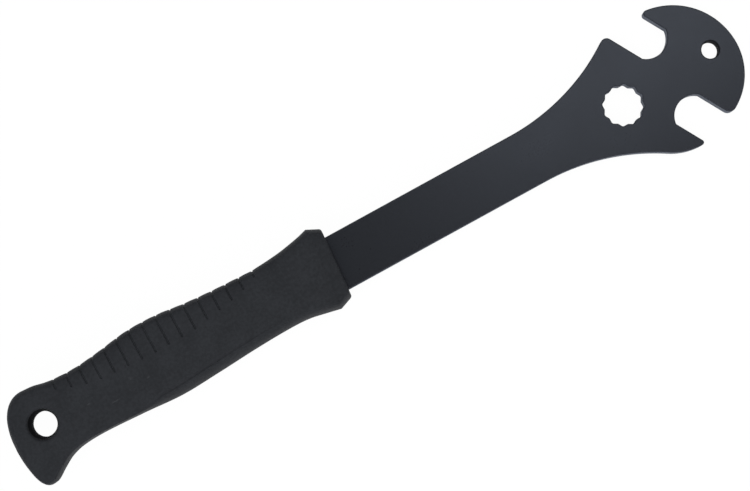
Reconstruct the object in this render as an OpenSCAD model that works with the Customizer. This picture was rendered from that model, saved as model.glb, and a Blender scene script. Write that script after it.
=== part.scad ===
// Pedal wrench: a flat steel blade with two slanted open jaws and a twelve-point ring,
// and a moulded rubber grip round its tang. Millimetres.
// The origin is the centre of the hang hole on the middle plane of the plate,
// +X runs along the wrench to the nose of the head and +Z stands on the flat of the plate.

/* [Blade] */
// Thickness of the steel plate
blade_t = 5; // [3:0.5:8]
// Width of the straight shank and of the tang
shank_w = 23.3; // [20:0.1:25]
// Hang hole to the centre of the ring, along the wrench
ring_x = 270.5; // [240:0.1:320]
// Ring centre above the axis
ring_y = 0.3; // [-1:0.1:1.5]
// Hang hole to the hidden end of the tang
tang_x = 14; // [11:0.5:40]
// Corner radius at the end of the tang
tang_r = 4; // [1:0.5:8]

/* [Head] */
// Size across the flats of the nut that the jaws and the ring take
nut_w = 15; // [13:0.5:17]
// Clearance of the jaws and the ring on the nut
nut_play = 0.2; // [0.05:0.05:0.3]
// Slant of both jaws, from square across the wrench
jaw_slant = 30; // [20:1:35]
// Radius of the round bottom of a jaw
throat_r = 8.7; // [8.6:0.1:12]
// Throat centre off the middle of its jaw
throat_shift = 0.5; // [0:0.1:0.6]
// Upper throat centre ahead of the ring centre
jaw_up_x = 20.9; // [19:0.1:25]
// Upper throat centre above the axis
jaw_up_y = 19.8; // [18.5:0.1:23]
// Lower throat centre ahead of the ring centre
jaw_dn_x = 24.3; // [21:0.1:26]
// Lower throat centre below the axis
jaw_dn_y = 17.4; // [16:0.1:20]
// Ring centre to the nose of the head
nose_x = 52.9; // [51:0.1:60]
// Middle of the head above the axis
head_y = 0.3; // [-1:0.1:1.5]
// Radius of the upper half of the head
head_up_r = 29.9; // [28:0.1:33]
// Radius of the lower half of the head
head_dn_r = 26.8; // [25:0.1:30]
// Radius of the small round hole near the nose
eye_r = 3.6; // [2:0.1:4.5]
// Small hole ahead of the ring centre
eye_x = 42; // [40:0.1:45]
// Small hole above the axis
eye_y = 3.1; // [0:0.1:5]
// Radius that blunts the points of the ring
ring_point_r = 8.6; // [8:0.05:9.8]

/* [Flares] */
// Radius of the upper flare between shank and head
flare_up_r = 90.5; // [75:0.5:110]
// Upper flare leaves the shank this far behind the ring centre
flare_up_x = 46.8; // [40:0.5:52]
// Radius of the lower flare between shank and head
flare_dn_r = 92.5; // [75:0.5:110]
// Lower flare leaves the shank this far behind the ring centre
flare_dn_x = 41.9; // [36:0.5:46]
// Radius of the rounded beak under the lower jaw
beak_r = 25.5; // [17:0.5:26]
// Beak centre ahead of the ring centre
beak_x = 20.5; // [18:0.1:21]

/* [Tip radii] */
// Corner of the upper flare at the upper jaw
lobe_tip_r = 2.6; // [0.5:0.1:3]
// Point of the head at the upper jaw
horn_tip_r = 1.5; // [0.4:0.1:2]
// Point of the beak at the lower jaw
beak_tip_r = 1.1; // [0.4:0.1:2]
// Corner of the head at the lower jaw
chin_tip_r = 3; // [0.5:0.1:4]

/* [Grip] */
// Hang hole to the front face of the grip, on the axis
grip_x = 136.4; // [125:0.1:160]
// Length of the bevel between the collar's ridge and the front face
collar_bevel = 5.9; // [4:0.1:8]
// Slant of the collar: how far it leans forward for each millimetre across
collar_lean = 0.07; // [0:0.01:0.12]
// Radius of the small round at the edge of the front face
front_r = 0.8; // [0.4:0.1:1.5]
// Hang hole to the outermost point of the tail
tail_x = 15.5; // [14:0.1:20]
// Width of the rounded rim on the thumb side, in from the outline
rim_w = 3.3; // [2:0.1:4]
// Width of the rounded rim on the far side, along the hand
rim_hand_w = 3.3; // [2:0.1:4]
// Width of the rounded rim on the far side, between the tail and the hand
rim_heel_w = 1.4; // [1:0.1:3]
// How sharply the far side's rim meets the face along the hand, from 0 for smooth
rim_crease = 0.4; // [0:0.05:0.8]
// Fall of the face from its flat middle to its rims
crown = 0.5; // [0:0.1:1]
// Part of the face's width that is flat across
face_flat = 0.6; // [0:0.05:0.8]
// Clearance round the tang in its pocket
tang_fit = 0.05; // [0:0.05:0.2]

/* [Hang hole] */
// Radius of the neck of the hang hole
hang_r = 5.3; // [3:0.1:6]
// Length of its straight neck
hang_neck = 2; // [1:0.5:6]
// Widening from the neck to each mouth
hang_draft = 1.1; // [0.2:0.1:1.5]
// Radius of the round at each mouth
hang_mouth = 1.2; // [0.5:0.1:2]

/* [Thumb grooves] */
// Number of grooves
groove_n = 16; // [8:1:16]
// Hang hole to the first groove
groove_x = 11.7; // [10:0.1:14]
// Distance from groove to groove
groove_pitch = 6.18; // [5:0.02:6.2]
// Width of a groove
groove_w = 1.1; // [0.5:0.05:1.5]
// Depth of a groove
groove_d = 0.55; // [0.2:0.05:0.8]
// Radius of the arc on which the grooves end
groove_sweep = 150; // [120:5:250]
// Hang hole to the middle of that arc, along the grip
groove_mid = 56; // [50:1:62]
// Height of that arc above the axis
groove_reach = 3.6; // [1:0.1:6]

/* [Hidden] */
$fn = 96;

// Past any surface that a cut has to clear
over = 60;
// Curves that run into each other cross by this much, so that they meet at a clear angle
bite = 0.01;
jaw_w = nut_w + nut_play;
jaw_up = [ring_x + jaw_up_x, jaw_up_y];
jaw_dn = [ring_x + jaw_dn_x, -jaw_dn_y];
up_turn = jaw_slant;
dn_turn = jaw_slant + 180;
nose = ring_x + nose_x;
head_up = [nose - head_up_r, head_y];
head_dn = [nose - head_dn_r, head_y];
flare_up = [ring_x - flare_up_x, shank_w / 2 + flare_up_r - bite];
flare_dn = [ring_x - flare_dn_x, -shank_w / 2 - flare_dn_r + bite];
// The beak's circle follows on from the lower flare's circle
beak_reach = flare_dn_r + beak_r - bite;
beak_run = ring_x + beak_x - flare_dn[0];
beak = flare_dn + [beak_run, sqrt(pow(beak_reach, 2) - pow(beak_run, 2))];
beak_root = flare_dn + (beak - flare_dn) * (flare_dn_r - 1) / beak_reach;

// Half widths and half thickness of the grip at points along it, joined by smooth curves
tail_top = [-2.5, 16.5];
hook_tip = [-9, 23.35];
tail_y = -4;
swell_up = 2.13;
swell_dn = 2.18;
ridge_x = grip_x - collar_bevel;
UPPER = [
    tail_top, [3, 16.1], [8, 15], [13, 14.5], [18, 14.3], [24, 14.5], [34, 15.6], [45, 17.2], [53.5, 17.6],
    [63, 17.2], [73, 16], [85, 15.1], [97, 14.6], [105, 14.4], [ridge_x - 14, 15.3],
    [ridge_x - 5, 17], [ridge_x, 18.4]
];
LOWER = [
    hook_tip, [-6.5, 22.9], [-2, 19.9], [3, 17], [9, 15.3], [19, 14.7], [37, 15.5], [55, 16.7],
    [72, 15.9], [90, 14.7], [105, 14.1], [ridge_x - 15, 14.35], [ridge_x - 5, 16.1], [ridge_x, 17.1]
];
THICK = [
    [-tail_x, 6.4], [0, 6.5], [16, 7.3], [30, 8.4], [48, 9.1], [65, 9.3], [85, 9.2], [105, 9],
    [ridge_x - 10, 9.6], [ridge_x, 10.6]
];
RIM = [
    [-tail_x, 2.4], [hook_tip[0] + 2, 2.4], [4, rim_heel_w], [38, rim_heel_w], [60, rim_hand_w],
    [ridge_x - 22, rim_hand_w], [ridge_x, 2.6]
];
CREASE = [[-tail_x, 0], [40, 0], [60, rim_crease], [ridge_x - 12, rim_crease], [ridge_x, 0.4 * rim_crease]];
// Where the bevel ends: upper side, lower side and face
FRONT = [15.6, 14.8, 9.1];
// Steps across a rounded edge, from the outline inwards
RIM_STEPS = [0, 0.05, 0.17, 0.36, 0.64, 1];
// Part of a groove's width that each of its walls takes
groove_wall = 0.25;
// Part of a groove's depth that is left where it runs out over the rim
groove_rim = 0.7;
groove_fade = 1.2;

// Smooth curve through rows of [x, value]
function span(p, x, i = 0) = i >= len(p) - 2 || x < p[i + 1][0] ? i : span(p, x, i + 1);
function slope(p, i) =
    let (a = max(i - 1, 0), b = min(i + 1, len(p) - 1)) (p[b][1] - p[a][1]) / (p[b][0] - p[a][0]);
function curve(p, x) =
    let (
        i = span(p, x),
        h = p[i + 1][0] - p[i][0],
        t = min(max((x - p[i][0]) / h, 0), 1),
        keep = 1 - t * t * (3 - 2 * t)
    )
    keep * p[i][1] + (1 - keep) * p[i + 1][1]
        + t * (1 - t) * h * ((1 - t) * slope(p, i) - t * slope(p, i + 1));

// Part of full height at the part t of the way in across a rounded edge
function round_edge(t) = sqrt(1 - pow(1 - min(max(t, 0), 1), 2));
// The same with a crease c where the rounded edge meets the face
function creased_edge(t, c) = (1 - c) * round_edge(t) + c * sqrt(t);
// Part of the crown's fall at the part t of the way from the middle of the face to its rim
function fall(t) = pow(min(max(t - face_flat, 0) / (1 - face_flat), 1), 2);
// Part of full reach at the part t of the way round a corner of the tail
function swell(t, k) = pow(1 - pow(min(max(t, 0), 1), k), 1 / k);

// Outline above and below the axis, thickness above the middle plane
function bevel(x) = max(x - ridge_x, 0) / collar_bevel;
function upper(x) =
    x < tail_top[0]
        ? tail_y + (tail_top[1] - tail_y) * swell((tail_top[0] - x) / (tail_top[0] + tail_x), swell_up)
    : x < ridge_x ? curve(UPPER, x)
    : curve(UPPER, ridge_x) + (FRONT[0] - curve(UPPER, ridge_x)) * bevel(x);
function lower(x) =
    x < hook_tip[0]
        ? -tail_y + (hook_tip[1] + tail_y) * swell((hook_tip[0] - x) / (hook_tip[0] + tail_x), swell_dn)
    : x < ridge_x ? curve(LOWER, x)
    : curve(LOWER, ridge_x) + (FRONT[1] - curve(LOWER, ridge_x)) * bevel(x);
function thick(x) =
    x < ridge_x ? curve(THICK, x) : curve(THICK, ridge_x) + (FRONT[2] - curve(THICK, ridge_x)) * bevel(x);

// Rim of width w, measured across the wrench where the outline runs slanted from a to b over 0.2 mm
function rim_across(w, a, b) = w * sqrt(1 + pow((b - a) / 0.2, 2));
// The collar leans: full lean at its ridge, none at the last groove
function lean(x) =
    let (t = min(max((x - groove_x - groove_n * groove_pitch) / 20, 0), 1)) collar_lean * t * t * (3 - 2 * t);
// Line on which the grooves end
function groove_end(x) = groove_reach + groove_sweep - sqrt(pow(groove_sweep, 2) - pow(x - groove_mid, 2));

// One cross-section: a loop of points at x, with the thumb side sunk by s and the whole shrunk by e
function section(x, s, e) =
    let (
        u = upper(x) - groove_rim * s - e,
        l = -lower(x) + e,
        half = 0.45 * (u - l),
        ru = min(rim_across(rim_w, upper(x - 0.1), upper(x + 0.1)), half),
        rl = min(rim_across(curve(RIM, x), lower(x - 0.1), lower(x + 0.1)), half),
        h = (thick(x) - e) * round_edge((x + tail_x) / rim_w),
        a = u - ru,
        b = l + rl,
        end = min(groove_end(x), a - 0.06 * (a - b)),
        start = min(end + groove_fade, a - 0.02 * (a - b)),
        face = [
            for (t = RIM_STEPS) [u - t * ru, (h - s) * round_edge(t)],
            [start, h - s],
            for (t = [0, 0.25, 0.5, 0.75]) [end + t * (b - end), h],
            for (i = [len(RIM_STEPS) - 1:-1:0])
                [l + RIM_STEPS[i] * rl, h * creased_edge(RIM_STEPS[i], curve(CREASE, x))]
        ],
        mid = (a + b) / 2,
        far = max(a - mid, 1),
        top = [for (p = face) [p[0], p[1] - crown * p[1] / h * fall(abs(p[0] - mid) / far)]],
        n = len(top)
    )
    [
        for (p = top) [x + lean(x) * p[0], p[0], p[1]],
        for (i = [n - 2:-1:1]) [x + lean(x) * top[i][0], top[i][0], -top[i][1]]
    ];

// Sections as [x, sunk, shrunk]: round of the tail, open stretches, both walls of each groove, collar
first_groove = groove_x - groove_w / 2;
last_groove = groove_x + (groove_n - 1) * groove_pitch + groove_w / 2;
STATIONS = [
    for (t = [0.01, 0.05, 0.13, 0.25, 0.42, 0.64, 0.85, 1]) [-tail_x + t * rim_w, 0, 0],
    for (x = [-11.4, -10, -8.5, -7, -5.5, -4, -2, 0, 2.5, 5, 7.5]) [x, 0, 0],
    for (i = [0:groove_n - 1])
        let (x = groove_x + i * groove_pitch, w = groove_w / 2, v = w - groove_wall * groove_w)
            each [[x - w, 0, 0], [x - v, groove_d, 0], [x + v, groove_d, 0], [x + w, 0, 0]],
    for (i = [1:7]) [last_groove + i * (ridge_x - last_groove) / 8, 0, 0],
    [ridge_x, 0, 0],
    [ridge_x + 0.35 * collar_bevel, 0, 0],
    for (a = [0, 30, 60, 90]) [grip_x - front_r * (1 - sin(a)), 0, front_r * (1 - cos(a))]
];

module grip_body() {
    loops = [for (s = STATIONS) section(s[0], s[1], s[2])];
    n = len(loops[0]);
    m = len(loops);
    faces = [
        [for (j = [0:n - 1]) j],
        for (i = [0:m - 2], j = [0:n - 1])
            let (a = i * n + j, b = i * n + (j + 1) % n) each [[a, a + n, b], [b, a + n, b + n]],
        [for (j = [n - 1:-1:0]) (m - 1) * n + j]
    ];
    polyhedron([for (l = loops) each l], faces);
}

// Tang seen from above, from its end to x1, with a margin all round
module tang_outline(x1, margin) {
    w = shank_w / 2 + margin;
    x0 = tang_x - margin;
    translate([x0 + tang_r, -w]) square([x1 - x0 - tang_r, 2 * w]);
    translate([x0, tang_r - w]) square([tang_r + 1, 2 * (w - tang_r)]);
    for (s = [-1, 1]) translate([x0 + tang_r, s * (w - tang_r)]) circle(tang_r);
}

module hang_hole() {
    mouth = [hang_r + hang_draft, thick(0) - hang_mouth];
    wide = mouth[0] + hang_mouth;
    side = [
        [hang_r, hang_neck / 2],
        for (a = [0:15:90]) mouth + hang_mouth * [1 - cos(a), sin(a)]
    ];
    rotate_extrude() polygon([
        [0, -over], [wide, -over],
        for (i = [len(side) - 1:-1:0]) [side[i][0], -side[i][1]],
        for (p = side) p,
        [wide, over], [0, over]
    ]);
}

module grip() {
    color([0.17, 0.175, 0.19])
    difference() {
        grip_body();
        translate([0, 0, -blade_t / 2 - tang_fit])
            linear_extrude(blade_t + 2 * tang_fit) tang_outline(grip_x + over, tang_fit);
        hang_hole();
    }
}

// A point in the frame of a jaw whose throat is at c, with the mouth towards +Y
function in_jaw(p, c, turn) =
    let (d = p - c) [d[0] * cos(turn) + d[1] * sin(turn), d[1] * cos(turn) - d[0] * sin(turn)];

// Rounds the tip between one face of a jaw and the circle at p of radius r.
// s is the side of the jaw; hollow means that the metal lies outside the circle
module round_tip(p, r, s, tip_r, hollow = false) {
    k = hollow ? -1 : 1;
    in = tip_r - bite;
    fx = s * (jaw_w / 2 + in);
    f = [fx, p[1] + k * sqrt(pow(r - k * in, 2) - pow(fx - p[0], 2))];
    a1 = s > 0 ? 180 : 0;
    a2 = atan2(k * (f[1] - p[1]), k * (f[0] - p[0]));
    am = (a1 + a2) / 2;
    difference() {
        polygon([
            f, f + 2 * tip_r * [cos(a1), sin(a1)], f + 5 * tip_r * [cos(am), sin(am)],
            f + 2 * tip_r * [cos(a2), sin(a2)]
        ]);
        translate(f) circle(tip_r);
    }
}

// Open jaw: a slot with parallel faces and a round bottom of a larger radius than half its width
module jaw() {
    intersection() {
        translate([throat_shift, 0]) circle(throat_r);
        translate([-jaw_w / 2, -over]) square([jaw_w, 2 * over]);
    }
    translate([-jaw_w / 2, 0]) square([jaw_w, over]);
}

// Ring for a hexagon in twelve positions: two hexagons a twelfth of a turn apart
module ring() {
    corner = jaw_w / 2 / cos(30);
    intersection() {
        circle(ring_point_r);
        for (a = [0, 30]) rotate(a) circle(corner, $fn = 6);
    }
}

// Plate between the shank and the jaws, hollowed by the two flares
module neck_outline() {
    out = jaw_up_y + head_up_r;
    difference() {
        polygon([
            [flare_up[0], shank_w / 2], [flare_dn[0], -shank_w / 2], beak_root, beak, jaw_up,
            jaw_up + 16 * [-sin(up_turn), cos(up_turn)]
        ]);
        translate(flare_up) circle(flare_up_r, $fn = 360);
        translate(flare_dn) circle(flare_dn_r, $fn = 360);
    }
    translate(beak) circle(beak_r, $fn = 180);
}

module head_outline() {
    intersection() {
        translate(head_up) circle(head_up_r, $fn = 240);
        translate([nose - over, head_y]) square(over);
    }
    translate(head_dn) circle(head_dn_r, $fn = 240);
}

module blade_outline() {
    difference() {
        union() {
            tang_outline(ring_x - flare_up_x + 10, 0);
            neck_outline();
            head_outline();
        }
        translate(jaw_up) rotate(up_turn) {
            jaw();
            round_tip(in_jaw(flare_up, jaw_up, up_turn), flare_up_r, -1, lobe_tip_r, hollow = true);
            round_tip(in_jaw(head_up, jaw_up, up_turn), head_up_r, 1, horn_tip_r);
        }
        translate(jaw_dn) rotate(dn_turn) {
            jaw();
            round_tip(in_jaw(beak, jaw_dn, dn_turn), beak_r, 1, beak_tip_r);
            round_tip(in_jaw(head_dn, jaw_dn, dn_turn), head_dn_r, -1, chin_tip_r);
        }
        translate([ring_x, ring_y]) ring();
        translate([ring_x + eye_x, eye_y]) circle(eye_r);
    }
}

module blade() {
    color([0.22, 0.235, 0.26])
    translate([0, 0, -blade_t / 2]) linear_extrude(blade_t) blade_outline();
}

blade();
grip();
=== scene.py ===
"""Pedal wrench: a flat steel blade with two slanted jaws and a ring, in a moulded rubber grip.

Sizes are millimetres in the frame of the part: the origin is the middle of the hang hole, +X runs
to the nose and +Z stands on the plate. Meshes, lamps and the camera are made in metres.
"""

import logging
import math
from dataclasses import dataclass, field
from enum import Enum
from typing import Sequence

import bpy
from mathutils import Matrix, Vector
from mathutils.geometry import tessellate_polygon

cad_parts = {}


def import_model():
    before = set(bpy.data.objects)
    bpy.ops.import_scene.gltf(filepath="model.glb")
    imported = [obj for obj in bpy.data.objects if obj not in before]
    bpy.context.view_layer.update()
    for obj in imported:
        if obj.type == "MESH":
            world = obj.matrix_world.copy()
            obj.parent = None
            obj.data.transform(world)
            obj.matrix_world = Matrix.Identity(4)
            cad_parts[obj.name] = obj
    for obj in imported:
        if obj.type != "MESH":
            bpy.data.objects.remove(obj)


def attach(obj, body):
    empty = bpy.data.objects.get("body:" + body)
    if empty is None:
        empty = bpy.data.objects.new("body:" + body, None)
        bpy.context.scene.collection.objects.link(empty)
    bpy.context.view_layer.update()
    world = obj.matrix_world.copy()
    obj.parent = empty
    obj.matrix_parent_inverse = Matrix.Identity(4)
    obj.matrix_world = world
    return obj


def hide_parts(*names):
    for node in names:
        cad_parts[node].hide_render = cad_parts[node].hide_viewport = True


Point = tuple[float, float]
Spot = tuple[float, float, float]
Colour = tuple[float, float, float, float]

MM = 0.001
# Millimetres under which two points are one
SAME = 2e-3
# Longest turn and longest way between two points of an arc
ARC_TURN = math.radians(5)
ARC_WAY = 1.5
# Specular level of walls and edges
DULL_SHEEN = 0.06
WHITE: Colour = (1.0, 1.0, 1.0, 1.0)
LOG = logging.getLogger("pedal_wrench")


def ease(value: float, low: float, high: float) -> float:
    """Return how far value has come from low to high, eased at both ends."""
    t = min(max((value - low) / (high - low), 0.0), 1.0)
    return t * t * (3.0 - 2.0 * t)


def mix(a: float, b: float, t: float) -> float:
    """Return the value at the part t of the way from a to b."""
    return a + (b - a) * t


def spread(x: float, y: float, reach: float) -> Point:
    """Return the point at a distance from the origin on the ray through a place."""
    return (x * reach / math.hypot(x, y), y * reach / math.hypot(x, y))


class Turn(Enum):
    """Which way an arc runs."""

    LEFT = 1
    RIGHT = -1


class Coat(Enum):
    """Finish that a face takes, by its place among the materials of the piece."""

    FACE = 0
    WELL = 1
    EDGE = 2
    ROUND = 3


@dataclass
class Outline:
    """Closed line round metal, walked with the metal on its left."""

    points: list[Point] = field(default_factory=list)
    outward: list[Point] = field(default_factory=list)

    def put(self, point: Point, outward: Point) -> None:
        """Add a point, unless the line is already there.

        Args:
            point: The point.
            outward: Its direction away from the metal.
        """
        if not self.points or math.dist(self.points[-1], point) > SAME:
            self.points.append(point)
            self.outward.append(outward)

    def arc(self, centre: Point, first: Point, last: Point, turn: Turn) -> None:
        """Add an arc.

        Args:
            centre: Centre of the arc.
            first: Point where it starts.
            last: Point towards which it runs.
            turn: Way round; metal lies inside an arc that turns left.
        """
        radius = math.dist(centre, first)
        start = math.atan2(first[1] - centre[1], first[0] - centre[0])
        sweep = math.atan2(last[1] - centre[1], last[0] - centre[0]) - start
        sweep = turn.value * ((turn.value * sweep) % math.tau)
        steps = max(2, math.ceil(abs(sweep) / ARC_TURN), math.ceil(abs(sweep) * radius / ARC_WAY))
        for i in range(steps + 1):
            ray = (math.cos(start + sweep * i / steps), math.sin(start + sweep * i / steps))
            self.put(
                (centre[0] + radius * ray[0], centre[1] + radius * ray[1]),
                (turn.value * ray[0], turn.value * ray[1]),
            )

    def corner(self, before: Point, at: Point, after: Point, radius: float) -> None:
        """Add a rounded corner between two straight edges.

        Args:
            before: A point on the edge that comes in.
            at: The sharp corner.
            after: A point on the edge that goes out.
            radius: Radius of the round.
        """
        one = (Vector(at) - Vector(before)).normalized()
        two = (Vector(after) - Vector(at)).normalized()
        bend = math.atan2(one.x * two.y - one.y * two.x, one.dot(two))
        side = 1 if bend > 0 else -1
        reach = radius * math.tan(abs(bend) / 2)
        first = Vector(at) - one * reach
        last = Vector(at) + two * reach
        centre = first + side * radius * Vector((-one.y, one.x))
        self.arc(tuple(centre), tuple(first), tuple(last), Turn(side))

    def close(self) -> None:
        """Drop the last point if it repeats the first."""
        if math.dist(self.points[0], self.points[-1]) < SAME:
            self.points.pop()
            self.outward.pop()


@dataclass(frozen=True)
class Round:
    """Small round between the face of a jaw and a circle, by its centre and its two ends."""

    centre: Point
    on_face: Point
    on_circle: Point


@dataclass(frozen=True)
class Jaw:
    """Open jaw: a slot with parallel faces that ends in a wider round throat."""

    centre: Point
    turn: float
    width: float = 15.2
    throat: float = 8.7
    shift: float = 0.5
    edge: float = 0.35

    def world(self, p: Point) -> Point:
        """Return a point of the jaw's own frame, whose mouth is towards +Y, in the part's frame."""
        c, s = math.cos(math.radians(self.turn)), math.sin(math.radians(self.turn))
        return (self.centre[0] + c * p[0] - s * p[1], self.centre[1] + s * p[0] + c * p[1])

    def local(self, p: Point) -> Point:
        """Turn a point into the jaw's own frame.

        Args:
            p: The point in the part's frame.

        Returns:
            The same point in the jaw's own frame.
        """
        c, s = math.cos(math.radians(self.turn)), math.sin(math.radians(self.turn))
        d = (p[0] - self.centre[0], p[1] - self.centre[1])
        return (c * d[0] + s * d[1], c * d[1] - s * d[0])

    def tip(self, circle: Point, reach: float, side: int, radius: float, hollow: bool = False) -> Round:
        """Place the round between a face of the jaw and a circle.

        Args:
            circle: Centre of the circle.
            reach: Radius of the circle.
            side: Face of the jaw, 1 or -1 along its own X.
            radius: Radius of the round.
            hollow: Whether the metal lies outside the circle.

        Returns:
            The round, in the part's frame.
        """
        k = -1 if hollow else 1
        p = self.local(circle)
        x = side * (self.width / 2 + radius)
        y = p[1] + k * math.sqrt((reach - k * radius) ** 2 - (x - p[0]) ** 2)
        far = math.dist(p, (x, y))
        on_circle = (p[0] + (x - p[0]) * reach / far, p[1] + (y - p[1]) * reach / far)
        return Round(self.world((x, y)), self.world((side * self.width / 2, y)), self.world(on_circle))

    def cut(self, line: Outline) -> None:
        """Walk down one face of the jaw, round the throat and up to the other face.

        Args:
            line: Outline to add to.
        """
        middle = self.world((self.shift, 0.0))
        down = self.tip(middle, self.throat, 1, self.edge, hollow=True)
        up = self.tip(middle, self.throat, -1, self.edge, hollow=True)
        line.arc(down.centre, down.on_face, down.on_circle, Turn.LEFT)
        line.arc(middle, down.on_circle, up.on_circle, Turn.RIGHT)
        line.arc(up.centre, up.on_circle, up.on_face, Turn.LEFT)


class Shell:
    """Mesh in the making: rows of vertices in millimetres, and faces that each take a coat."""

    def __init__(self) -> None:
        """Start empty."""
        self.verts: list[Spot] = []
        self.normals: list[Spot] = []
        self.faces: list[Sequence[int]] = []
        self.coats: list[int] = []
        self.coat = Coat.FACE

    def face(self, *corners: int) -> None:
        """Add a face in the coat that is being used."""
        self.faces.append(corners)
        self.coats.append(self.coat.value)

    def ring(self, spots: Sequence[Spot], normals: Sequence[Spot] = ()) -> list[int]:
        """Add a row of vertices.

        Args:
            spots: Places of the vertices.
            normals: Their normals, where the piece sets its own.

        Returns:
            The indices of the row.
        """
        start = len(self.verts)
        self.verts.extend(spots)
        self.normals.extend(normals)
        return list(range(start, len(self.verts)))

    def bridge(self, low: Sequence[int], high: Sequence[int]) -> None:
        """Join two closed rows of equal length with quads.

        Args:
            low: First row.
            high: Second row; the faces look outward when it lies further along the piece.
        """
        n = len(low)
        for j in range(n):
            k = (j + 1) % n
            self.face(low[j], low[k], high[k], high[j])

    def grow(self, before: Sequence[int], spots: Sequence[Spot], side: int) -> list[int]:
        """Add a row and join it to the row before it.

        Args:
            before: The row to start from.
            spots: Places of the new vertices.
            side: 1 on the face of the piece and -1 on its back.

        Returns:
            The new row.
        """
        row = self.ring(spots)
        self.bridge(*((before, row) if side > 0 else (row, before)))
        return row

    def fill(self, rows: Sequence[Sequence[int]], up: bool) -> None:
        """Fill a flat face between an outer row and the rows of its holes.

        Args:
            rows: The outer row first, then one row for each hole.
            up: Whether the face looks towards +Z.
        """
        flat = [index for row in rows for index in row]
        lines = [[Vector((self.verts[i][0], self.verts[i][1], 0.0)) for i in row] for row in rows]
        for a, b, c in tessellate_polygon(lines):
            p, q, r = (Vector(self.verts[flat[i]][:2]) for i in (a, b, c))
            area = (q - p).cross(r - p)
            if abs(area) > 1e-9:
                order = (a, b, c) if (area > 0) == up else (c, b, a)
                self.face(*(flat[i] for i in order))

    def build(self, name: str) -> bpy.types.Object:
        """Make the object.

        Args:
            name: Name of the piece.

        Returns:
            The object, in metres, linked to the scene.
        """
        mesh = bpy.data.meshes.new(name)
        mesh.from_pydata([(x * MM, y * MM, z * MM) for x, y, z in self.verts], [], self.faces)
        mesh.update()
        mesh.polygons.foreach_set("use_smooth", [True] * len(mesh.polygons))
        mesh.polygons.foreach_set("material_index", self.coats)
        if self.normals:
            mesh.normals_split_custom_set_from_vertices(self.normals)
        piece = bpy.data.objects.new(name, mesh)
        bpy.context.scene.collection.objects.link(piece)
        return piece


class Value:
    """Number on a shader socket; arithmetic on it adds Math nodes."""

    def __init__(self, shop: "Shop", socket: bpy.types.NodeSocket) -> None:
        """Wrap a socket of a material that is being made."""
        self.shop = shop
        self.socket = socket

    def __add__(self, other: "Value | float") -> "Value":
        """Return the sum."""
        return self.shop.math("ADD", self, other)

    def __sub__(self, other: "Value | float") -> "Value":
        """Return the difference."""
        return self.shop.math("SUBTRACT", self, other)

    def __rsub__(self, other: float) -> "Value":
        """Return the difference from a number."""
        return self.shop.math("SUBTRACT", other, self)

    def __mul__(self, other: "Value | float") -> "Value":
        """Return the product."""
        return self.shop.math("MULTIPLY", self, other)

    def __rmul__(self, other: float) -> "Value":
        """Return the product."""
        return self.shop.math("MULTIPLY", other, self)

    def above(self, low: float, high: float) -> "Value":
        """Add a step that is eased at both ends.

        Args:
            low: Value under which the step is 0.
            high: Value over which the step is 1.

        Returns:
            The step.
        """
        node = self.shop.add(
            "ShaderNodeMapRange",
            {"interpolation_type": "SMOOTHSTEP"},
            {"Value": self, "From Min": low, "From Max": high},
        )
        return Value(self.shop, node.outputs["Result"])


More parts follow.
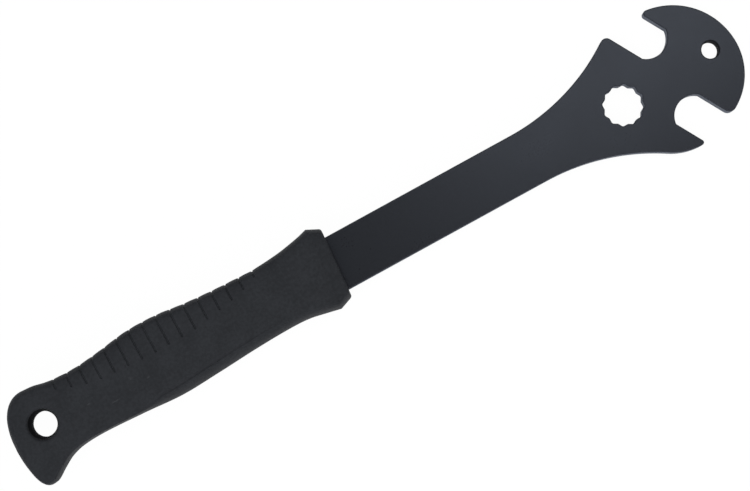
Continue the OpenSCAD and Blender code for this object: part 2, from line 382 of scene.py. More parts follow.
class Shop:
    """Node tree of one material or world."""

    def __init__(self, tree: bpy.types.NodeTree) -> None:
        """Empty the tree."""
        tree.nodes.clear()
        self.tree = tree

    @classmethod
    def start(cls, name: str) -> tuple[bpy.types.Material, "Shop"]:
        """Start a material.

        Args:
            name: Name of the material.

        Returns:
            The material and its node tree.
        """
        material = bpy.data.materials.new(name)
        material.use_nodes = True
        return material, cls(material.node_tree)

    def skin(self, inputs: dict[str | int, object]) -> None:
        """Close the material with a Principled shader."""
        shader = self.add("ShaderNodeBsdfPrincipled", {}, inputs)
        self.add("ShaderNodeOutputMaterial", {}, {"Surface": shader.outputs[0]})

    def add(self, kind: str, settings: dict[str, object], inputs: dict[str | int, object]) -> bpy.types.Node:
        """Add a node.

        Args:
            kind: Type of the node.
            settings: Properties that are set before the sockets.
            inputs: Value, Value object or output socket for each input.

        Returns:
            The node.
        """
        node = self.tree.nodes.new(kind)
        for key, value in settings.items():
            setattr(node, key, value)
        for key, value in inputs.items():
            source = value.socket if isinstance(value, Value) else value
            if isinstance(source, bpy.types.NodeSocket):
                self.tree.links.new(source, node.inputs[key])
            else:
                node.inputs[key].default_value = source
        return node

    def math(self, operation: str, a: Value | float, b: Value | float) -> Value:
        """Return the result of a Math node."""
        return Value(self, self.add("ShaderNodeMath", {"operation": operation}, {0: a, 1: b}).outputs[0])

    def place(self) -> bpy.types.NodeSocket:
        """Return the place on the piece, in metres in the part's frame."""
        return self.add("ShaderNodeTexCoord", {}, {}).outputs["Object"]

    def noise(self, size: float, detail: float) -> Value:
        """Return a noise around one half.

        Args:
            size: Size of its features in millimetres.
            detail: Octaves.

        Returns:
            The noise.
        """
        scaled = self.add(
            "ShaderNodeVectorMath",
            {"operation": "MULTIPLY"},
            {0: self.place(), 1: [1.0 / (size * MM)] * 3},
        )
        inputs = {"Vector": scaled.outputs[0], "Scale": 1.0, "Detail": detail}
        node = self.add("ShaderNodeTexNoise", {}, inputs)
        return Value(self, node.outputs[0])

    def near(self, spot: Spot, size: Spot) -> Value:
        """Return the distance from a spot, counted in sizes.

        Args:
            spot: Place in millimetres.
            size: Half sizes of the ellipsoid on which the distance is 1.

        Returns:
            The distance.
        """
        off = self.add(
            "ShaderNodeVectorMath", {"operation": "SUBTRACT"}, {0: self.place(), 1: [c * MM for c in spot]}
        )
        scaled = self.add(
            "ShaderNodeVectorMath",
            {"operation": "MULTIPLY"},
            {0: off.outputs[0], 1: [1.0 / (s * MM) for s in size]},
        )
        length = self.add("ShaderNodeVectorMath", {"operation": "LENGTH"}, {0: scaled.outputs[0]})
        return Value(self, length.outputs["Value"])

    def seen(self) -> Value:
        """Tell the rays that see a thing from the ones that are lit by it.

        Returns:
            1 for camera, glossy and transmission rays, and 0 for all others.
        """
        path = self.add("ShaderNodeLightPath", {}, {})
        rays = [Value(self, path.outputs[f"Is {kind} Ray"]) for kind in ("Camera", "Glossy", "Transmission")]
        return self.math("MAXIMUM", self.math("MAXIMUM", rays[0], rays[1]), rays[2])

    def blend(self, part: Value, one: object, two: object) -> bpy.types.NodeSocket:
        """Return a colour between two colours.

        Args:
            part: 0 gives the first colour and 1 the second.
            one: First colour or socket.
            two: Second colour or socket.

        Returns:
            The socket of the colour.
        """
        node = self.add("ShaderNodeMix", {"data_type": "RGBA"}, {0: part, 6: one, 7: two})
        return node.outputs[2]

    def bump(self, height: Value, depth: float) -> bpy.types.NodeSocket:
        """Return a normal that follows a height.

        Args:
            height: Height between 0 and 1.
            depth: Millimetres between them.

        Returns:
            The socket of the normal.
        """
        node = self.add("ShaderNodeBump", {}, {"Strength": 1.0, "Distance": depth * MM, "Height": height})
        return node.outputs[0]


def toned(colour: Colour, by: float) -> Colour:
    """Return a colour made lighter or darker."""
    return (by * colour[0], by * colour[1], by * colour[2], colour[3])


def dull(name: str, colour: Colour, roughness: float) -> bpy.types.Material:
    """Make a plain material with hardly a sheen, for walls and edges.

    Args:
        name: Name of the material.
        colour: Its colour.
        roughness: Its roughness.

    Returns:
        The material.
    """
    material, shop = Shop.start(name)
    shop.skin({"Base Color": colour, "Roughness": roughness, "Specular IOR Level": DULL_SHEEN})
    return material


@dataclass(frozen=True)
class BlackSteel:
    """Black satin finish on ground steel."""

    colour: Colour = (0.0046, 0.0042, 0.0046, 1.0)
    # pale colour of the cut walls: painted highlight, standing in for light grazing them
    edge_highlight: Colour = (0.125, 0.140, 0.175, 1.0)
    # colour of the rounds: a dimmer painted highlight than the walls, darker than them so that the upper
    # edges look shaded
    round_dim_highlight: Colour = (0.036, 0.040, 0.050, 1.0)
    well: Colour = (0.009, 0.0095, 0.012, 1.0)
    tint: Colour = (0.74, 0.83, 1.0, 1.0)
    roughness: float = 0.29
    specular: float = 0.165
    cloud: float = 22.0
    grain: float = 0.9
    dark: float = 0.85
    pale: float = 1.25

    def make(self) -> bpy.types.Material:
        """Make the material."""
        material, shop = Shop.start("black_steel")
        cloud = shop.noise(self.cloud, 3.0)
        grain = shop.noise(self.grain, 2.0)
        shade = (cloud - 0.5) * 0.5 + (grain - 0.5) * 0.5 + 0.4
        dark, pale = toned(self.colour, self.dark), toned(self.colour, self.pale)
        plain = shop.blend(shade.above(0.1, 0.9), dark, pale)
        rough = (grain - 0.5) * 0.05 + (cloud - 0.5) * 0.06 + self.roughness
        shop.skin({
            "Base Color": plain,
            "Roughness": rough,
            "Specular IOR Level": self.specular,
            "Specular Tint": self.tint,
        })
        return material

    def make_well(self) -> bpy.types.Material:
        """Make the dull black of the small hole's wall."""
        return dull("black_steel_well", self.well, 0.8)

    def make_edge(self) -> bpy.types.Material:
        """Make the cut walls, whose pale colour is a painted highlight standing in for light grazing the
        walls.
        """
        return dull("black_steel_edge_highlight", self.edge_highlight, 0.6)

    def make_round(self) -> bpy.types.Material:
        """Make the rounds between the faces and the edges, in a colour paler than the face that paints a
        dimmer highlight than on the walls, kept darker than the walls so that the upper edges look shaded.
        """
        return dull("black_steel_round_dim_highlight", self.round_dim_highlight, 0.6)


@dataclass(frozen=True)
class BlackRubber:
    """Matt black moulded rubber with a fine mould texture and a few pale marks."""

    colour: Colour = (0.0228, 0.0245, 0.0280, 1.0)
    dust: Colour = (0.060, 0.062, 0.068, 1.0)
    # black of the hang hole's wall: painted shade, far darker than the rubber
    well: Colour = (0.004, 0.004, 0.005, 1.0)
    tint: Colour = (0.92, 0.95, 1.0, 1.0)
    roughness: float = 0.65
    specular: float = 0.1
    cloud: float = 9.0
    mottle: float = 1.3
    fine: float = 0.35
    depth: float = 0.02
    dark: float = 0.82
    pale: float = 1.20
    specks: tuple[tuple[Spot, Spot], ...] = (
        ((40.9, -1.2, 9.0), (1.1, 0.9, 4.0)),
        ((47.4, -4.2, 9.0), (1.2, 0.8, 4.0)),
        ((20.6, -2.0, 8.0), (1.6, 0.5, 4.0)),
        ((31.0, -6.2, 8.6), (3.0, 0.45, 4.0)),
    )

    def make(self) -> bpy.types.Material:
        """Make the material."""
        material, shop = Shop.start("black_rubber")
        cloud = shop.noise(self.cloud, 5.0)
        fine = shop.noise(self.fine, 3.0)
        mottle = shop.noise(self.mottle, 3.0)
        shade = (cloud * 0.35 + mottle * 0.45 + fine * 0.2).above(0.35, 0.65)
        colour = shop.blend(shade, toned(self.colour, self.dark), toned(self.colour, self.pale))
        marks = shop.noise(0.8, 2.0).above(0.25, 0.75)
        for spot, size in self.specks:
            mark = (1.0 - shop.near(spot, size).above(0.1, 1.0)) * marks * 0.55
            colour = shop.blend(mark, colour, self.dust)
        rough = (fine - 0.5) * 0.12 + self.roughness
        shop.skin({
            "Base Color": colour,
            "Roughness": rough,
            "Specular IOR Level": self.specular,
            "Specular Tint": self.tint,
            "Normal": shop.bump(fine, self.depth),
        })
        return material

    def make_well(self) -> bpy.types.Material:
        """Make the hang hole's wall, in a black far darker than the rubber that paints the shade inside the
        hole.
        """
        return dull("black_rubber_well_painted_shade", self.well, 0.8)


@dataclass
class Blade:
    """Steel plate: tang, shank, flares, ring, small hole and the head with its two jaws."""

    thick: float = 5.0
    half: float = 11.65
    tang_x: float = 14.0
    tang_r: float = 4.0
    flare_up: Point = (223.7, 102.15)
    flare_up_r: float = 90.5
    flare_dn: Point = (228.6, -104.15)
    flare_dn_r: float = 92.5
    beak: Point = (291.0, -4.0)
    beak_r: float = 25.5
    head_up: Point = (293.5, 0.3)
    head_up_r: float = 29.9
    head_dn: Point = (296.6, 0.3)
    head_dn_r: float = 26.8
    upper: Jaw = Jaw((291.4, 19.8), 30.0)
    lower: Jaw = Jaw((294.8, -17.4), 210.0)
    lobe: float = 2.6
    horn: float = 1.5
    beak_tip: float = 1.1
    chin: float = 3.0
    ring: Point = (270.5, 0.3)
    ring_point: float = 1.1
    ring_valley: float = 0.5
    eye: Point = (312.5, 3.1)
    eye_r: float = 3.6
    round_r: float = 0.45
    round_steps: int = 5

    def rim(self) -> Outline:
        """Walk the outline of the plate, from the end of the tang by the lower jaw to the upper jaw and back.

        Returns:
            The outline.
        """
        line = Outline()
        inner = self.half - self.tang_r
        end = self.tang_x + self.tang_r
        line.arc((end, -inner), (self.tang_x, -inner), (end, -self.half), Turn.LEFT)
        joint = Vector(self.beak) - Vector(self.flare_dn)
        joint = Vector(self.flare_dn) + joint.normalized() * self.flare_dn_r
        foot = (self.flare_dn[0], self.flare_dn[1] + self.flare_dn_r)
        line.arc(self.flare_dn, foot, tuple(joint), Turn.RIGHT)
        tip = self.lower.tip(self.beak, self.beak_r, 1, self.beak_tip)
        line.arc(self.beak, tuple(joint), tip.on_circle, Turn.LEFT)
        line.arc(tip.centre, tip.on_circle, tip.on_face, Turn.LEFT)
        self.lower.cut(line)
        tip = self.lower.tip(self.head_dn, self.head_dn_r, -1, self.chin)
        line.arc(tip.centre, tip.on_face, tip.on_circle, Turn.LEFT)
        nose = (self.head_dn[0] + self.head_dn_r, self.head_dn[1])
        line.arc(self.head_dn, tip.on_circle, nose, Turn.LEFT)
        tip = self.upper.tip(self.head_up, self.head_up_r, 1, self.horn)
        line.arc(self.head_up, nose, tip.on_circle, Turn.LEFT)
        line.arc(tip.centre, tip.on_circle, tip.on_face, Turn.LEFT)
        self.upper.cut(line)
        tip = self.upper.tip(self.flare_up, self.flare_up_r, -1, self.lobe, hollow=True)
        line.arc(tip.centre, tip.on_face, tip.on_circle, Turn.LEFT)
        foot = (self.flare_up[0], self.flare_up[1] - self.flare_up_r)
        line.arc(self.flare_up, tip.on_circle, foot, Turn.RIGHT)
        line.arc((end, inner), (end, self.half), (self.tang_x, inner), Turn.LEFT)
        line.close()
        return line

    def ring_hole(self) -> Outline:
        """Walk the twelve-point hole clockwise, with a blunted corner at each point and each valley.

        Returns:
            The line.
        """
        corner = self.upper.width / 2 / math.cos(math.radians(30))
        valley = self.upper.width / 2 / math.cos(math.radians(15))
        spots = []
        for i in range(24):
            angle, reach = math.radians(-15 * i), valley if i % 2 else corner
            spots.append((self.ring[0] + reach * math.cos(angle), self.ring[1] + reach * math.sin(angle)))
        line = Outline()
        for i, spot in enumerate(spots):
            radius = self.ring_valley if i % 2 else self.ring_point
            line.corner(spots[i - 1], spot, spots[(i + 1) % 24], radius)
        line.close()
        return line

    def eye_hole(self) -> Outline:
        """Walk the small round hole clockwise.

        Returns:
            The line.
        """
        line = Outline()
        right, left = (self.eye[0] + self.eye_r, self.eye[1]), (self.eye[0] - self.eye_r, self.eye[1])
        line.arc(self.eye, right, left, Turn.RIGHT)
        line.arc(self.eye, left, right, Turn.RIGHT)
        line.close()
        return line

    def wall(self, shell: Shell, line: Outline, flat: Coat, rounds: Coat) -> tuple[list[int], list[int]]:
        """Raise the wall over an outline, with a round at each face.

        Args:
            shell: Mesh to add to.
            line: Outline to follow.
            flat: Coat of the wall.
            rounds: Coat of the rounds.

        Returns:
            The rows that bound the back and the face.
        """
        tilts = [math.pi / 2 * i / self.round_steps for i in range(self.round_steps + 1)]
        rows = []
        for side, tilt in [(-1, tilt) for tilt in reversed(tilts)] + [(1, tilt) for tilt in tilts]:
            inset = self.round_r * (1 - math.cos(tilt))
            z = side * (self.thick / 2 - self.round_r + self.round_r * math.sin(tilt))
            spots = [(p[0] - n[0] * inset, p[1] - n[1] * inset, z) for p, n in zip(line.points, line.outward)]
            normals = [
                (n[0] * math.cos(tilt), n[1] * math.cos(tilt), side * math.sin(tilt)) for n in line.outward
            ]
            rows.append(shell.ring(spots, normals))
        for i, (low, high) in enumerate(zip(rows, rows[1:])):
            shell.coat = flat if i == self.round_steps else rounds
            shell.bridge(low, high)
        shell.coat = Coat.FACE
        return rows[0], rows[-1]

    def mesh(self) -> bpy.types.Object:
        """Make the walls of the plate and its holes, and the two faces between them.

        Returns:
            The plate, without its finish.
        """
        shell = Shell()
        # The cut walls and their rounds take coats whose pale colours paint their highlight.
        rows = [self.wall(shell, line, Coat.EDGE, Coat.ROUND) for line in (self.rim(), self.ring_hole())]
        rows.append(self.wall(shell, self.eye_hole(), Coat.WELL, Coat.WELL))
        shell.fill([back for back, _ in rows], up=False)
        shell.fill([face for _, face in rows], up=True)
        return shell.build("blade_plate")

    def dress(self, finish: BlackSteel) -> bpy.types.Object:
        """Make the plate, give it its finish and put it in place of its node.

        Args:
            finish: Finish of the steel.

        Returns:
            The piece.
        """
        piece = self.mesh()
        for material in (finish.make(), finish.make_well(), finish.make_edge(), finish.make_round()):
            piece.data.materials.append(material)
        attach(piece, "root")
        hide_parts("blade")
        return piece


@dataclass(frozen=True)
class Curve:
    """Smooth line through rows of place and value."""

    rows: tuple[Point, ...]

    def slope(self, i: int) -> float:
        """Return the slope at a row, from the rows beside it."""
        a, b = self.rows[max(i - 1, 0)], self.rows[min(i + 1, len(self.rows) - 1)]
        return (b[1] - a[1]) / (b[0] - a[0])

    def at(self, x: float) -> float:
        """Read the line at a place.

        Args:
            x: The place; beyond the ends it counts as the end.

        Returns:
            The value.
        """
        i = 0
        while i < len(self.rows) - 2 and x >= self.rows[i + 1][0]:
            i += 1
        (x0, y0), (x1, y1) = self.rows[i], self.rows[i + 1]
        t = min(max((x - x0) / (x1 - x0), 0.0), 1.0)
        bow = (1 - t) * self.slope(i) - t * self.slope(i + 1)
        return mix(y0, y1, t * t * (3 - 2 * t)) + t * (1 - t) * (x1 - x0) * bow


@dataclass
class Across:
    """Sizes of the grip where one slice crosses it."""

    top: float
    bottom: float
    rim_top: float
    rim_bottom: float
    half: float
    crease: float


@dataclass
class Grip:
    """Moulded grip: hooked tail with a hang hole, thumb grooves, creased far side and flared collar."""

    length: float = 136.4
    bevel: float = 5.9
    lean: float = 0.07
    front_r: float = 0.8
    tail: float = 15.5
    tail_y: float = -4.0
    rim: float = 3.3
    crown: float = 0.5
    flat: float = 0.6
    swell_up: float = 2.13
    swell_dn: float = 2.18
    slot_half: float = 11.7
    slot_thick: float = 2.55
    slot_end: float = 13.95
    hole_r: float = 5.3
    hole_neck: float = 4.0
    hole_draft: float = 1.0
    hole_mouth: float = 1.2
    hole_gap: Point = (9.3, 9.0)
    groove_n: int = 16
    groove_x: float = 11.7
    groove_pitch: float = 6.18
    groove_w: float = 0.9
    groove_d: float = 0.55
    groove_rim: float = 0.6
    land: float = 0.17
    groove_ends: tuple[float, ...] = (
        9.7, 7.4, 5.6, 4.4, 4.1, 3.7, 3.3, 3.2, 3.4, 3.4, 3.6, 4.9, 5.7, 6.8, 8.4, 14.0,
    )
    front: Spot = (15.6, 14.8, 9.1)
    crease: float = 0.55
    valley: float = 0.34
    valley_in: float = 0.75
    valley_w: float = 0.55

    def __post_init__(self) -> None:
        """Set up the lines along the grip."""
        ridge = self.ridge = self.length - self.bevel
        self.tip_up, self.tip_dn = (-2.5, 16.5), (-9.0, 23.35)
        self.upper_line = Curve((
            self.tip_up, (3, 16.1), (8, 15), (13, 14.5), (18, 14.3), (24, 14.5), (34, 15.6), (45, 17.2),
            (53.5, 17.6), (63, 17.2), (73, 16), (85, 15.1), (97, 14.6), (105, 14.4), (ridge - 14, 15.3),
            (ridge - 5, 17), (ridge, 18.4),
        ))
        self.lower_line = Curve((
            self.tip_dn, (-6.5, 22.9), (-2, 19.9), (3, 17), (9, 15.3), (19, 14.7), (37, 15.5), (55, 16.7),
            (72, 15.9), (90, 14.7), (105, 14.1), (ridge - 15, 14.35), (ridge - 5, 16.1), (ridge, 17.1),
        ))
        self.thick_line = Curve((
            (-self.tail, 6.4), (0, 6.5), (16, 7.3), (30, 8.4), (48, 9.1), (65, 9.3), (85, 9.2), (105, 9),
            (ridge - 10, 9.6), (ridge, 10.6),
        ))
        self.rim_line = Curve((
            (-self.tail, 2.4), (-7, 1.0), (4, 0.6), (38, 0.7), (52, 3.0), (ridge - 22, 3.3), (ridge, 2.6),
        ))
        self.crease_line = Curve(((-self.tail, 0), (40, 0), (50, 1), (90, 1), (110, 0), (ridge, 0)))

    def beyond(self, x: float) -> float:
        """Return how far a place is down the bevel of the collar."""
        return max(x - self.ridge, 0.0) / self.bevel

    def upper(self, x: float) -> float:
        """Follow the outline on the thumb side.

        Args:
            x: Place along the grip.

        Returns:
            The distance above the axis.
        """
        if x < self.tip_up[0]:
            t = min(max((self.tip_up[0] - x) / (self.tip_up[0] + self.tail), 0.0), 1.0)
            return mix(self.tail_y, self.tip_up[1], (1 - t**self.swell_up) ** (1 / self.swell_up))
        return mix(self.upper_line.at(x), self.front[0], self.beyond(x))

    def lower(self, x: float) -> float:
        """Follow the outline on the far side.

        Args:
            x: Place along the grip.

        Returns:
            The distance below the axis.
        """
        if x < self.tip_dn[0]:
            t = min(max((self.tip_dn[0] - x) / (self.tip_dn[0] + self.tail), 0.0), 1.0)
            return mix(-self.tail_y, self.tip_dn[1], (1 - t**self.swell_dn) ** (1 / self.swell_dn))
        return mix(self.lower_line.at(x), self.front[1], self.beyond(x))

    def half_thick(self, x: float) -> float:
        """Return the half thickness at the middle of the face."""
        return mix(self.thick_line.at(x), self.front[2], self.beyond(x))

    def tilt(self, x: float) -> float:
        """Return how much a slice leans, in place along the grip per place across it."""
        start = self.groove_x + self.groove_n * self.groove_pitch
        return self.lean * ease(x, start, start + 20)

    def across(self, x: float, shrink: float) -> Across:
        """Measure a slice.

        Args:
            x: Place along the grip.
            shrink: Inset of the whole slice, for the round of the front edge.

        Returns:
            The sizes of the slice.
        """
        top, bottom = self.upper(x) - shrink, -self.lower(x) + shrink
        room = 0.45 * (top - bottom)
        run_up = math.hypot(1.0, (self.upper(x + 0.1) - self.upper(x - 0.1)) / 0.2)
        run_dn = math.hypot(1.0, (self.lower(x + 0.1) - self.lower(x - 0.1)) / 0.2)
        part = min(max((x + self.tail) / self.rim, 0.0), 1.0)
        half = (self.half_thick(x) - shrink) * math.sqrt(1 - (1 - part) ** 2)
        return Across(
            top, bottom, min(self.rim * run_up, room), min(self.rim_line.at(x) * run_dn, room), half,
            self.crease * self.crease_line.at(x),
        )

    def height(self, cut: Across, y: float) -> float:
        """Return the height of the face over the middle plane.

        Args:
            cut: Slice.
            y: Place across the grip.

        Returns:
            The height, without grooves.
        """
        a, b = cut.top - cut.rim_top, cut.bottom + cut.rim_bottom
        z = cut.half
        if y > a:
            t = min((cut.top - y) / cut.rim_top, 1.0)
            z *= math.sqrt(max(1 - (1 - t) ** 2, 0.0))
        elif y < b:
            t = min((y - cut.bottom) / cut.rim_bottom, 1.0)
            z *= mix(math.sqrt(max(1 - (1 - t) ** 2, 0.0)), math.sqrt(t), cut.crease)
        middle, far = (a + b) / 2, max((a - b) / 2, 1.0)
        fall = min(max(abs(y - middle) / far - self.flat, 0.0) / (1 - self.flat), 1.0) ** 2
        z -= self.crown * (1.0 if y > middle else 0.3) * fall * z / max(cut.half, 1e-6)
        off = (y - b - self.valley_in) / self.valley_w
        return z - self.valley * cut.crease / self.crease * math.exp(-off * off)

    def groove(self, x: float, y: float, end: float) -> float:
        """Return the depth of the grooves at a place.

        Args:
            x: Place along the grip.
            y: Place across it.
            end: Place across it where the nearest groove ends.

        Returns:
            The depth.
        """
        i = min(max(round((x - self.groove_x) / self.groove_pitch), 0), self.groove_n - 1)
        off = abs(x - self.groove_x - i * self.groove_pitch)
        off = math.hypot(off, max(end + self.groove_w / 2 - y, 0.0))
        return self.groove_d * (1 - ease(off, 0.18 * self.groove_w, 0.56 * self.groove_w))

    def land_fall(self, x: float) -> float:
        """Measure how far the rim between two grooves falls off towards the middle between them.

        Args:
            x: Place along the grip.

        Returns:
            The fall.
        """
        along = (x - self.groove_x) / self.groove_pitch
        if not -0.5 < along < self.groove_n - 0.5:
            return 0.0
        return self.land * (1 - 2 * abs(along - round(along))) ** 2

    def slice(self, x: float, shrink: float = 0.0) -> list[Spot]:
        """Draw the upper half of a slice, from the thumb side to the far side.

        Args:
            x: Place along the grip.
            shrink: Inset of the whole slice, for the round of the front edge.

        Returns:
            The points, closer together where the grooves end and by the crease.
        """
        cut = self.across(x, shrink)
        a, b = cut.top - cut.rim_top, cut.bottom + cut.rim_bottom
        nearest = min(max(round((x - self.groove_x) / self.groove_pitch), 0), self.groove_n - 1)
        end = min(self.groove_ends[nearest], a - 0.02 * (a - b))
        high = min(end + 1.4, a - 0.02 * (a - b))
        tight = min((a - b) / 6, 1.0)
        low = max(high - 2.1, mix(b + 1.6 * tight, high, 0.5))
        ys = [cut.top - cut.rim_top * (1 - math.cos(math.pi / 2 * i / 9)) for i in range(9)]
        ys += [mix(a, high, i / 7) for i in range(7)]
        ys += [mix(high, low, i / 12) for i in range(12)]
        ys += [mix(low, b + 1.6 * tight, i / 16) for i in range(16)]
        ys += [b + d * tight for d in (1.6, 1.2, 0.85, 0.55, 0.3, 0.12)]
        ys += [cut.bottom + cut.rim_bottom * (1 - math.cos(math.pi / 2 * i / 10)) for i in range(10, -1, -1)]
        spots = []
        for j, y in enumerate(ys):
            z = self.height(cut, y)
            depth = self.groove(x, y, end) if shrink == 0 else 0.0
            if j < 9:
                tilt = math.pi / 2 * j / 9
                depth = depth * mix(self.groove_rim, 1.0, j / 9) + (0.0 if shrink else self.land_fall(x))
                y, z = y - depth * math.cos(tilt), z - depth * math.sin(tilt)
            else:
                z -= depth
            spots.append((x + self.tilt(x) * y, y, max(z, 0.0)))
        return spots

    def stations(self) -> list[Point]:
        """Place the slices, closer together at the tail, the grooves, the ridge and the front edge.

        Returns:
            Place and inset of each slice, from the tail to the front face.
        """
        places = [(-self.tail + self.rim * (1 - math.cos(math.pi / 2 * i / 10)), 0.0) for i in range(1, 11)]
        x = places[-1][0]
        first = self.groove_x - 0.9
        steps = math.ceil((first - x) / 0.9)
        places += [(mix(x, first, i / steps), 0.0) for i in range(1, steps)]
        offsets = (-0.8, -0.66, -0.54, -0.43, -0.32, -0.2, -0.07, 0.07, 0.2, 0.32, 0.43, 0.54, 0.66, 0.8)
        for i in range(self.groove_n):
            middle = self.groove_x + i * self.groove_pitch
            places += [(middle + d, 0.0) for d in offsets]
            places += [(middle + mix(0.8, self.groove_pitch - 0.8, k / 5), 0.0) for k in range(1, 5)]
        x = places[-1][0]
        steps = math.ceil((self.ridge - 1 - x) / 0.9)
        places += [(mix(x, self.ridge - 1, i / steps), 0.0) for i in range(1, steps)]
        places += [(self.ridge + d, 0.0) for d in (-1.0, -0.6, -0.3, -0.12, 0.0, 0.12, 0.3, 0.6)]
        x, last = self.ridge + 0.6, self.length - self.front_r
        places += [(mix(x, last, i / 6), 0.0) for i in range(1, 6)]
        for i in range(7):
            turn = math.pi / 2 * i / 6
            places.append((last + self.front_r * math.sin(turn), self.front_r * (1 - math.cos(turn))))
        return places

    def hole(self, shell: Shell, loops: dict[int, list[int]]) -> None:
        """Fill the gaps left in both faces round the hang hole, and line the hole.

        Args:
            shell: Mesh to add to.
            loops: The row round the gap in the face, key 1, and in the back, key -1.
        """
        mouths = {}
        for side, loop in loops.items():
            outer = [shell.verts[i] for i in loop]
            wide = self.hole_r + self.hole_draft + self.hole_mouth
            before = loop
            for k in range(1, 6):
                spots = []
                for x, y, _ in outer:
                    px, py = spread(x, y, mix(math.hypot(x, y), wide, k / 5))
                    spots.append((px, py, side * self.height(self.across(px, 0.0), py)))
                before = shell.grow(before, spots, side)
            edge = [shell.verts[i] for i in before]
            for k in range(1, 7):
                turn = math.pi / 2 * (1 - k / 6)
                drop = self.hole_mouth * (1 - math.sin(turn))
                reach = self.hole_r + self.hole_draft + self.hole_mouth * (1 - math.cos(turn))
                spots = [(x * reach / wide, y * reach / wide, z - side * drop) for x, y, z in edge]
                before = shell.grow(before, spots, side)
            rim = [shell.verts[i] for i in before]
            # The wall of the hole takes the well finish, whose near-black on the grip is painted shade.
            shell.coat = Coat.WELL
            for k in range(1, 5):
                reach = mix(self.hole_r + self.hole_draft, self.hole_r, k / 4)
                spots = [
                    (*spread(x, y, reach), mix(z, side * self.hole_neck / 2, k / 4)) for x, y, z in rim
                ]
                before = shell.grow(before, spots, side)
            shell.coat = Coat.FACE
            mouths[side] = before
        shell.coat = Coat.WELL
        shell.bridge(mouths[1], mouths[-1])
        shell.coat = Coat.FACE

    def mesh(self) -> bpy.types.Object:
        """Join the slices, leave a gap round the hang hole in both faces, line the hole and close the ends.

        Returns:
            The grip, without its finish.
        """
        shell = Shell()
        halves = [self.slice(x, shrink) for x, shrink in self.stations()]
        n = len(halves[0])
        rows = []
        for half in halves:
            back = [(x, y, -z) for x, y, z in reversed(half[1:-1])]
            rows.append(shell.ring(half + back))
        places = [half[n // 2][0] for half in halves]
        first = max(i for i, x in enumerate(places) if x < -self.hole_gap[0])
        last = min(i for i, x in enumerate(places) if x > self.hole_gap[0])
        middle = halves[(first + last) // 2]
        high = max(j for j, spot in enumerate(middle) if spot[1] > self.hole_gap[1])
        low = min(j for j, spot in enumerate(middle) if spot[1] < -self.hole_gap[1])
        size = len(rows[0])
        for i in range(len(rows) - 1):
            for j in range(size):
                k = (j + 1) % size
                gap = high <= j < low or high <= size - j - 1 < low
                if not (first <= i < last and gap):
                    shell.face(rows[i][j], rows[i][k], rows[i + 1][k], rows[i + 1][j])
        loops = {}
        for side in (1, -1):
            def at(i: int, j: int) -> int:
                """Return the vertex of a slice on this side."""
                return rows[i][j if side > 0 else (size - j) % size]

            loop = [at(i, low) for i in range(first, last)]
            loop += [at(last, j) for j in range(low, high, -1)]
            loop += [at(i, high) for i in range(last, first, -1)]
            loop += [at(first, j) for j in range(high, low)]
            loops[side] = loop
        self.hole(shell, loops)
        self.close_tail(shell, rows[0])
        self.close_front(shell, rows[-1])
        return shell.build("grip_moulding")

    def close_tail(self, shell: Shell, row: list[int]) -> None:
        """Close the tail with a small cap.

        Args:
            shell: Mesh to add to.
            row: The first slice.
        """
        spots = [shell.verts[i] for i in row]
        x = -self.tail - 0.01
        y = sum(s[1] for s in spots) / len(spots)
        inner = shell.ring([(x, mix(s[1], y, 0.5), s[2] * 0.5) for s in spots])
        shell.bridge(inner, row)
        centre = shell.ring([(x, y, 0.0)])[0]
        for j in range(len(row)):
            shell.face(inner[(j + 1) % len(row)], inner[j], centre)

    def close_front(self, shell: Shell, row: list[int]) -> None:
        """Close the front face round the slot for the tang, and line the slot.

        Args:
            shell: Mesh to add to.
            row: The last slice.
        """
        outer = [shell.verts[i] for i in row]
        corners = [(self.slot_half, self.slot_thick), (-self.slot_half, self.slot_thick),
                   (-self.slot_half, -self.slot_thick), (self.slot_half, -self.slot_thick)]
        ring = []
        for x, y, z in outer:
            scale = min(self.slot_half / max(abs(y), 1e-6), self.slot_thick / max(abs(z), 1e-6))
            ring.append((y * scale, z * scale))
        for corner in corners:
            nearest = min(range(len(ring)), key=lambda j: math.dist(ring[j], corner))
            ring[nearest] = corner
        lean = self.tilt(self.length)
        before = row
        for t in (0.3, 0.65, 0.94, 1.0):
            spots = []
            for (x, y, z), (sy, sz) in zip(outer, ring):
                py, pz = mix(y, sy, t), mix(z, sz, t)
                spots.append((self.length + lean * py - (0.12 if t == 1.0 else 0.0), py, pz))
            inner = shell.ring(spots)
            shell.bridge(before, inner)
            before = inner
        end = shell.ring([(self.slot_end, y, z) for y, z in ring])
        shell.bridge(before, end)
        centre = shell.ring([(self.slot_end, 0.0, 0.0)])[0]
        for j in range(len(end)):
            shell.face(end[j], end[(j + 1) % len(end)], centre)

    def dress(self, finish: BlackRubber) -> bpy.types.Object:
        """Make the grip, give it its finish and put it in place of its node.

        Args:
            finish: Finish of the rubber.

        Returns:
            The piece.
        """
        piece = self.mesh()
        piece.data.materials.append(finish.make())
        piece.data.materials.append(finish.make_well())
        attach(piece, "root")
        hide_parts("grip")
        return piece


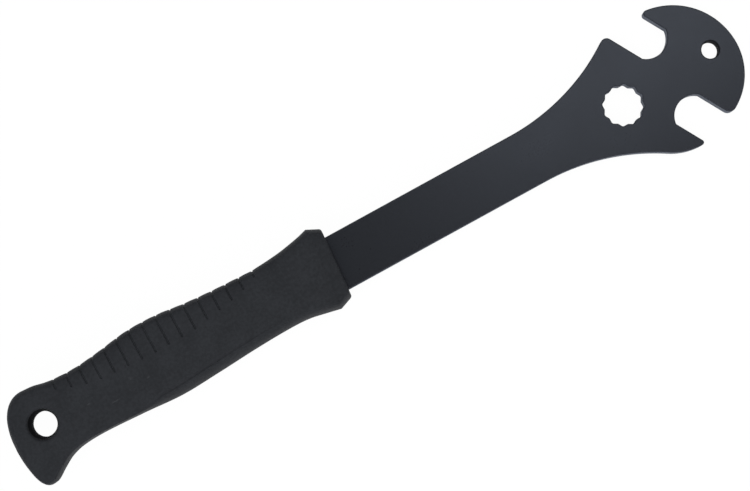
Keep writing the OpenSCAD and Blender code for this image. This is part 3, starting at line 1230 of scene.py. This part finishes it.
@dataclass
class Studio:
    """Floor, world, lamps and camera."""

    turn: float = 28.77
    middle: Spot = (153.75, -0.99, 672.5)
    lens: float = 78.62
    drop: float = 52.0
    plane: float = 0.7
    rest_near: Point = (130.5, -10.6)
    rest_far: Point = (323.4, -2.5)
    reach: float = 6000.0
    under: float = 0.02
    matt: Colour = (0.86, 0.86, 0.86, 1.0)
    shadow: float = 0.955
    glow: float = 1.019
    zenith: float = 0.13
    horizon: float = 0.70
    hand: Spot = (153.75, -1.0, 0.0)
    head: Spot = (280.0, 5.0, 0.0)

    def right(self) -> Vector:
        """Return the way to the right in the picture."""
        return Vector((math.cos(math.radians(self.turn)), -math.sin(math.radians(self.turn)), 0.0))

    def up(self) -> Vector:
        """Return the way up in the picture."""
        return Vector((math.sin(math.radians(self.turn)), math.cos(math.radians(self.turn)), 0.0))

    def camera(self) -> None:
        """Add the camera: it looks straight down from below the middle of the picture."""
        data = bpy.data.cameras.new("camera")
        data.lens = self.lens
        data.sensor_width = 36.0
        data.clip_start, data.clip_end = 0.05, 20.0
        data.shift_y = self.drop / (self.middle[2] - self.plane) * self.lens / data.sensor_width
        camera = bpy.data.objects.new("camera", data)
        matrix = Matrix((self.right(), self.up(), Vector((0.0, 0.0, 1.0)))).transposed().to_4x4()
        matrix.translation = (Vector(self.middle) - self.drop * self.up()) * MM
        camera.matrix_world = matrix
        bpy.context.scene.collection.objects.link(camera)
        bpy.context.scene.camera = camera

    def floor(self) -> None:
        """Add the floor under the ridge of the collar and the nose, where the wrench rests."""
        (x0, z0), (x1, z1) = self.rest_near, self.rest_far
        slope = (z1 - z0) / (x1 - x0)
        corners = []
        for x, y in ((-1, -1), (1, -1), (1, 1), (-1, 1)):
            z = z0 - self.under + slope * (x * self.reach - x0)
            corners.append((x * self.reach * MM, y * self.reach * MM, z * MM))
        mesh = bpy.data.meshes.new("floor")
        mesh.from_pydata(corners, [], [(0, 1, 2, 3)])
        mesh.update()
        material, shop = Shop.start("floor")
        seen = shop.seen()
        matt = shop.add("ShaderNodeBsdfDiffuse", {}, {"Color": self.matt})
        glow = shop.add("ShaderNodeEmission", {}, {"Color": WHITE, "Strength": self.glow})
        inputs = {0: seen * self.shadow, 1: matt.outputs[0], 2: glow.outputs[0]}
        both = shop.add("ShaderNodeMixShader", {}, inputs)
        shop.add("ShaderNodeOutputMaterial", {}, {"Surface": both.outputs[0]})
        mesh.materials.append(material)
        floor = bpy.data.objects.new("floor", mesh)
        bpy.context.scene.collection.objects.link(floor)

    def world(self) -> None:
        """Set the world: soft, brighter towards the horizon, and white where it is seen."""
        world = bpy.data.worlds.new("studio")
        world.use_nodes = True
        bpy.context.scene.world = world
        shop = Shop(world.node_tree)
        way = shop.add("ShaderNodeTexCoord", {}, {}).outputs["Generated"]
        height = Value(shop, shop.add("ShaderNodeSeparateXYZ", {}, {0: way}).outputs["Z"])
        soft = (1.0 - height.above(0.55, 0.97)) * (self.horizon - self.zenith) + self.zenith
        across = shop.add("ShaderNodeVectorMath", {"operation": "DOT_PRODUCT"}, {0: way, 1: list(self.up())})
        soft = soft * (1.0 - 0.75 * Value(shop, across.outputs["Value"]).above(-0.2, 0.5))
        seen = shop.seen()
        level = soft * (1.0 - seen) + seen
        back = shop.add("ShaderNodeBackground", {}, {"Color": WHITE, "Strength": level})
        shop.add("ShaderNodeOutputWorld", {}, {"Surface": back.outputs[0]})

    def lamp(self, name: str, place: Vector, aim: Vector, size: Point, power: float) -> None:
        """Add a soft box.

        Args:
            name: Name of the lamp.
            place: Its middle, in metres.
            aim: Where it points.
            size: Its sides in metres.
            power: Its power in watts.
        """
        data = bpy.data.lights.new(name, "AREA")
        data.shape = "RECTANGLE"
        data.size, data.size_y = size
        data.energy = power
        lamp = bpy.data.objects.new(name, data)
        back = (place - aim).normalized()
        along = (Vector((1.0, 0.0, 0.0)) - back * back.x).normalized()
        matrix = Matrix((along, back.cross(along), back)).transposed().to_4x4()
        matrix.translation = place
        lamp.matrix_world = matrix
        bpy.context.scene.collection.objects.link(lamp)

    def light(self) -> None:
        """Add the soft boxes: one below the picture, one over the head of the wrench, one fill."""
        middle, head = Vector(self.hand) * MM, Vector(self.head) * MM
        front = middle - 0.85 * self.up() + 0.5 * self.right() + Vector((0, 0, 0.75))
        self.lamp("key", front, middle, (1.0, 0.8), 1.5)
        over = head + Vector((0.25, 0.165, 1.05))
        self.lamp("sheen", over, head, (0.46, 0.25), 3.0)
        fill = middle - 0.45 * self.up() - 0.3 * self.right() + Vector((0, 0, 1.1))
        self.lamp("fill", fill, middle, (0.8, 0.8), 5.1)

    def build(self) -> None:
        """Make the whole stage."""
        self.camera()
        self.floor()
        self.world()
        self.light()


def main() -> None:
    """Build the wrench and its stage."""
    logging.basicConfig(level=logging.INFO, format="%(message)s")
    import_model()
    scene = bpy.context.scene
    scene.view_settings.view_transform = "Standard"
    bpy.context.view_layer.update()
    Studio().build()
    for piece in (Blade().dress(BlackSteel()), Grip().dress(BlackRubber())):
        LOG.info("%s: %d vertices, %d faces", piece.name, len(piece.data.vertices), len(piece.data.polygons))


if __name__ == "__main__":
    main()
